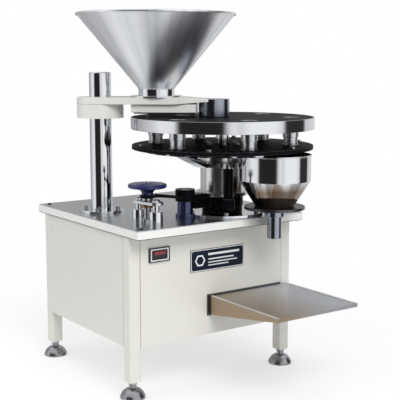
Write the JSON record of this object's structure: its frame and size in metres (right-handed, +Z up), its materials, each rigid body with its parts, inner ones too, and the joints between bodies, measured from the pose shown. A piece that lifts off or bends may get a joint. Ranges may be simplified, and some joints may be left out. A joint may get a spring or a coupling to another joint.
{
  "type": "rotary cup filling machine",
  "caption": "Bench-top rotary powder filler: cabinet on levelling feet, turret of telescopic measuring cups, hopper on a swinging arm, discharge funnel and container tray.",
  "frame": {"origin": "on the floor, below the middle of the outline", "axes": "+Z up, -Y towards the tray and the operator, +X to the right seen from the operator"},
  "size_m": [0.5084, 0.6614, 0.823],
  "materials": {
    "cream_paint": "satin off-white paint on sheet steel",
    "brushed_steel": "brushed stainless sheet",
    "polished_steel": "polished stainless steel",
    "black_metal": "gloss black finish on machined metal",
    "navy_paint": "navy enamel on a cast wheel",
    "plain_steel": "turned steel",
    "dark_steel": "blackened steel",
    "brass": "turned bronze",
    "nameplate_blue": "printed metal plate with a light border",
    "black_plastic": "moulded plastic",
    "red_plastic": "moulded red plastic",
    "grey_casting": "painted grey casting"
  },
  "bodies": {
    "machine": {"leg_front_left": "cream_paint", "leg_front_right": "cream_paint", "leg_rear_left": "cream_paint", "leg_rear_right": "cream_paint", "foot_lock_nuts": "plain_steel", "base_panel": "cream_paint", "front_panel": "cream_paint", "rear_panel": "cream_paint", "left_panel": "cream_paint", "right_panel": "cream_paint", "lid": "cream_paint", "deck_plate": "brushed_steel", "post": "polished_steel", "post_flange": "brushed_steel", "deck_screws": "plain_steel", "turret_base": "polished_steel", "turret_column": "black_metal", "spindle_bearings": "plain_steel", "guide_post": "polished_steel", "lift_bridge": "brushed_steel", "lift_pillars": "polished_steel", "lift_nut": "brass", "funnel": "polished_steel", "funnel_bracket": "dark_steel", "funnel_spout": "polished_steel", "tray": "brushed_steel", "tray_bracket": "dark_steel", "switch_bezel": "black_plastic", "nameplate": "nameplate_blue", "panel_screws": "plain_steel", "drive_motor": "grey_casting", "worm_gearbox": "grey_casting", "cable_gland": "black_plastic"},
    "turret": {"spindle": "polished_steel", "shaft_collar": "dark_steel", "upper_disc": "black_metal", "upper_disc_rim": "polished_steel", "upper_cups": "brushed_steel"},
    "lower_rotor": {"lower_disc": "black_metal", "lower_cups": "brushed_steel", "lower_disc_screws": "plain_steel", "sleeve": "brushed_steel"},
    "yoke": {"yoke_bar": "black_metal", "thrust_washer": "brass", "gate_plate": "brushed_steel"},
    "handwheel": {"handwheel": "navy_paint", "lift_screw": "plain_steel"},
    "arm_carriage": {"arm_clamp": "cream_paint", "clamp_screws": "plain_steel"},
    "hopper_arm": {"arm": "cream_paint", "hopper": "brushed_steel", "hopper_neck": "polished_steel", "powder_box": "brushed_steel", "powder_ring": "polished_steel", "scraper_hub": "polished_steel"},
    "rocker": {"switch_rocker": "red_plastic"},
    "foot_front_left": {"foot_front_left": "polished_steel"},
    "foot_front_right": {"foot_front_right": "polished_steel"},
    "foot_rear_left": {"foot_rear_left": "polished_steel"},
    "foot_rear_right": {"foot_rear_right": "polished_steel"}
  },
  "joints": [
    {"name": "turret_spin", "type": "hinge", "parent": "machine", "child": "turret", "pos_m": [0.04625, -0.0293, 0.4], "axis": [0, 0, 1], "continuous": true},
    {"name": "cup_depth", "type": "slide", "parent": "turret", "child": "lower_rotor", "axis": [0, 0, 1], "range_m": [0, 0.015]},
    {"name": "yoke_lift", "type": "slide", "parent": "machine", "child": "yoke", "axis": [0, 0, 1], "range_m": [0, 0.0151]},
    {"name": "handwheel_turn", "type": "hinge", "parent": "yoke", "child": "handwheel", "pos_m": [-0.17075, -0.0533, 0.44], "axis": [0, 0, 1], "range_deg": [0, 1352]},
    {"name": "arm_lift", "type": "slide", "parent": "machine", "child": "arm_carriage", "axis": [0, 0, 1], "range_m": [0, 0.05]},
    {"name": "arm_swing", "type": "hinge", "parent": "arm_carriage", "child": "hopper_arm", "pos_m": [-0.17175, 0.1447, 0.628], "axis": [0, 0, 1], "range_deg": [-60, 110]},
    {"name": "switch_rock", "type": "hinge", "parent": "machine", "child": "rocker", "pos_m": [-0.16675, -0.0907, 0.309], "axis": [-1, 0, 0], "range_deg": [0, 12]},
    {"name": "foot_front_left_screw", "type": "slide", "parent": "machine", "child": "foot_front_left", "axis": [0, 0, -1], "range_m": [0, 0.015]},
    {"name": "foot_front_right_screw", "type": "slide", "parent": "machine", "child": "foot_front_right", "axis": [0, 0, -1], "range_m": [0, 0.015]},
    {"name": "foot_rear_left_screw", "type": "slide", "parent": "machine", "child": "foot_rear_left", "axis": [0, 0, -1], "range_m": [0, 0.015]},
    {"name": "foot_rear_right_screw", "type": "slide", "parent": "machine", "child": "foot_rear_right", "axis": [0, 0, -1], "range_m": [0, 0.015]}
  ],
  "couplings": [
    {"joint": "handwheel_turn", "follows": "cup_depth", "rad_per_m": 1570.8},
    {"joint": "yoke_lift", "follows": "cup_depth", "ratio": 1}
  ]
}
